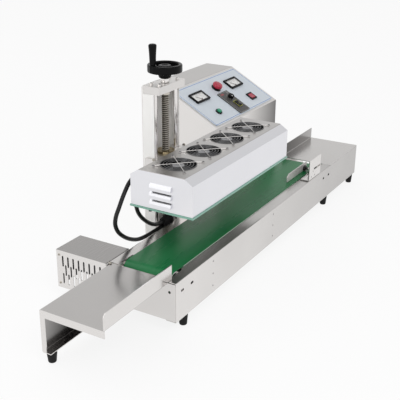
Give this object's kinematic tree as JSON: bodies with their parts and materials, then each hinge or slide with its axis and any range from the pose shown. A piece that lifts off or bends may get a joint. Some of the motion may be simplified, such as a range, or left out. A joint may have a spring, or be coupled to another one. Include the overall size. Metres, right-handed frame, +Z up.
{
  "type": "induction cap sealer",
  "caption": "Tabletop induction cap sealer: flat belt conveyor with end tables, sealing head on a hand-wheel column, guide and sloping control cabinet.",
  "frame": {"origin": "on the surface it stands on, under the middle of the machine's overall box", "axes": "+X along the belt from infeed to outfeed, +Y towards the control cabinet, +Z up"},
  "size_m": [1.005, 0.366, 0.4243],
  "materials": {
    "stainless": "folded stainless sheet, polished",
    "bright_steel": "bright turned steel and wire",
    "head_shell": "satin stainless sheet",
    "belt_green": "glossy green coated belt",
    "rubber_black": "matt black rubber",
    "bakelite_black": "glossy black moulding",
    "cable_black": "black cable sheath",
    "brass": "turned brass",
    "glass_green": "pale green laminate",
    "copper": "lacquered copper winding",
    "panel_grey": "printed light blue-grey sheet",
    "meter_black": "glossy black moulding",
    "needle_red": "painted pointer",
    "button_red": "glossy red moulding",
    "button_green": "glossy green moulding",
    "fan_black": "black moulding",
    "motor_grey": "dark grey paint"
  },
  "bodies": {
    "machine_base": {"front_side_panel": "stainless", "back_side_panel": "stainless", "infeed_end_plate": "stainless", "belt_bed": "stainless", "conveyor_belt": "belt_green", "gear_motor": "motor_grey", "motor_mount": "stainless", "motor_cover": "stainless", "infeed_table": "stainless", "outfeed_table": "stainless", "guide_bracket": "stainless", "foot_infeed_leg": "rubber_black", "foot_front_infeed": "rubber_black", "foot_front_outfeed": "rubber_black", "foot_front_end": "rubber_black", "foot_back_end": "rubber_black", "foot_cabinet_infeed": "rubber_black", "foot_cabinet_outfeed": "rubber_black", "column_base": "stainless", "column_channel": "stainless", "column_cap": "stainless", "guide_rod_left": "bright_steel", "guide_rod_right": "bright_steel", "rail_gland": "rubber_black", "head_cable_outer": "cable_black", "head_cable_inner": "cable_black", "cabinet_shell": "stainless", "cabinet_back": "stainless", "control_panel": "panel_grey", "meter_left": "meter_black", "meter_right": "meter_black"},
    "sealing_head": {"lift_carriage": "stainless", "lead_nut": "brass", "head_shell": "head_shell", "head_base_plate": "glass_green", "induction_coil": "copper", "fan_guard_1": "bright_steel", "fan_guard_2": "bright_steel", "fan_guard_3": "bright_steel", "fan_guard_4": "bright_steel", "head_gland": "bakelite_black"},
    "lift_screw": {"lead_screw": "bright_steel", "handwheel": "bakelite_black"},
    "wheel_grip": {"wheel_handle": "bakelite_black"},
    "drive_shaft": {"drive_roller": "bright_steel", "shaft_coupling": "bright_steel"},
    "tail_shaft": {"tail_roller": "bright_steel"},
    "fan_1": {"fan_rotor_1": "fan_black"},
    "fan_2": {"fan_rotor_2": "fan_black"},
    "fan_3": {"fan_rotor_3": "fan_black"},
    "fan_4": {"fan_rotor_4": "fan_black"},
    "guide": {"guide_plate": "stainless"},
    "guide_clamp": {"guide_knob": "bakelite_black"},
    "estop": {"estop_button": "button_red"},
    "start": {"start_button": "button_green"},
    "power": {"power_rocker": "button_red"},
    "run": {"run_switch": "meter_black"},
    "speed": {"speed_knob": "bakelite_black"},
    "pointer_left": {"needle_left": "needle_red"},
    "pointer_right": {"needle_right": "needle_red"}
  },
  "joints": [
    {"name": "head_lift", "type": "slide", "parent": "machine_base", "child": "sealing_head", "axis": [0, 0, 1], "range_m": [-0.06, 0.1], "deforming": ["head_cable_outer", "head_cable_inner"]},
    {"name": "screw_turn", "type": "hinge", "parent": "machine_base", "child": "lift_screw", "pos_m": [-0.094, -0.0115, 0.3517], "axis": [0, 0, 1], "continuous": true},
    {"name": "grip_spin", "type": "hinge", "parent": "lift_screw", "child": "wheel_grip", "pos_m": [-0.11829, -0.00169, 0.3817], "axis": [0, 0, 1], "continuous": true},
    {"name": "drive_turn", "type": "hinge", "parent": "machine_base", "child": "drive_shaft", "pos_m": [-0.2975, -0.1135, 0.0754], "axis": [0, 1, 0], "continuous": true},
    {"name": "tail_turn", "type": "hinge", "parent": "machine_base", "child": "tail_shaft", "pos_m": [0.3055, -0.1135, 0.0754], "axis": [0, 1, 0], "continuous": true},
    {"name": "fan_1_spin", "type": "hinge", "parent": "sealing_head", "child": "fan_1", "pos_m": [-0.20995, -0.112, 0.2367], "axis": [0, 0, 1], "continuous": true},
    {"name": "fan_2_spin", "type": "hinge", "parent": "sealing_head", "child": "fan_2", "pos_m": [-0.12465, -0.112, 0.2367], "axis": [0, 0, 1], "continuous": true},
    {"name": "fan_3_spin", "type": "hinge", "parent": "sealing_head", "child": "fan_3", "pos_m": [-0.03935, -0.112, 0.2367], "axis": [0, 0, 1], "continuous": true},
    {"name": "fan_4_spin", "type": "hinge", "parent": "sealing_head", "child": "fan_4", "pos_m": [0.04595, -0.112, 0.2367], "axis": [0, 0, 1], "continuous": true},
    {"name": "guide_slide", "type": "slide", "parent": "machine_base", "child": "guide", "axis": [0, 1, 0], "range_m": [0, 0.012]},
    {"name": "clamp_turn", "type": "hinge", "parent": "machine_base", "child": "guide_clamp", "pos_m": [0.2045, -0.173, 0.1035], "axis": [1, 0, 0], "continuous": true},
    {"name": "estop_push", "type": "slide", "parent": "machine_base", "child": "estop", "axis": [0, 0.4819, -0.8762], "range_m": [0, 0.003]},
    {"name": "start_push", "type": "slide", "parent": "machine_base", "child": "start", "axis": [0, 0.4819, -0.8762], "range_m": [0, 0.0025], "stiffness_N_per_m": 300, "springref_m": -0.0005},
    {"name": "power_tilt", "type": "hinge", "parent": "machine_base", "child": "power", "pos_m": [0.3105, 0.01442, 0.23153], "axis": [1, 0, 0], "range_deg": [-9, 9]},
    {"name": "run_tilt", "type": "hinge", "parent": "machine_base", "child": "run", "pos_m": [0.2355, 0.01087, 0.23072], "axis": [1, 0, 0], "range_deg": [-9, 9]},
    {"name": "speed_turn", "type": "hinge", "parent": "machine_base", "child": "speed", "pos_m": [0.2385, 0.03238, 0.24141], "axis": [0, 0.4819, -0.8762], "range_deg": [0, 270]},
    {"name": "pointer_left_turn", "type": "hinge", "parent": "machine_base", "child": "pointer_left", "pos_m": [0.152, 0.05433, 0.25348], "axis": [0, 0.4819, -0.8762], "range_deg": [0, 90], "stiffness_Nm_per_rad": 0.0001, "springref_deg": -5.73},
    {"name": "pointer_right_turn", "type": "hinge", "parent": "machine_base", "child": "pointer_right", "pos_m": [0.306, 0.05433, 0.25348], "axis": [0, 0.4819, -0.8762], "range_deg": [0, 90], "stiffness_Nm_per_rad": 0.0001, "springref_deg": -5.73}
  ],
  "couplings": [
    {"joint": "screw_turn", "follows": "head_lift", "rad_per_m": -1570.8},
    {"joint": "tail_turn", "follows": "drive_turn", "ratio": 1}
  ]
}
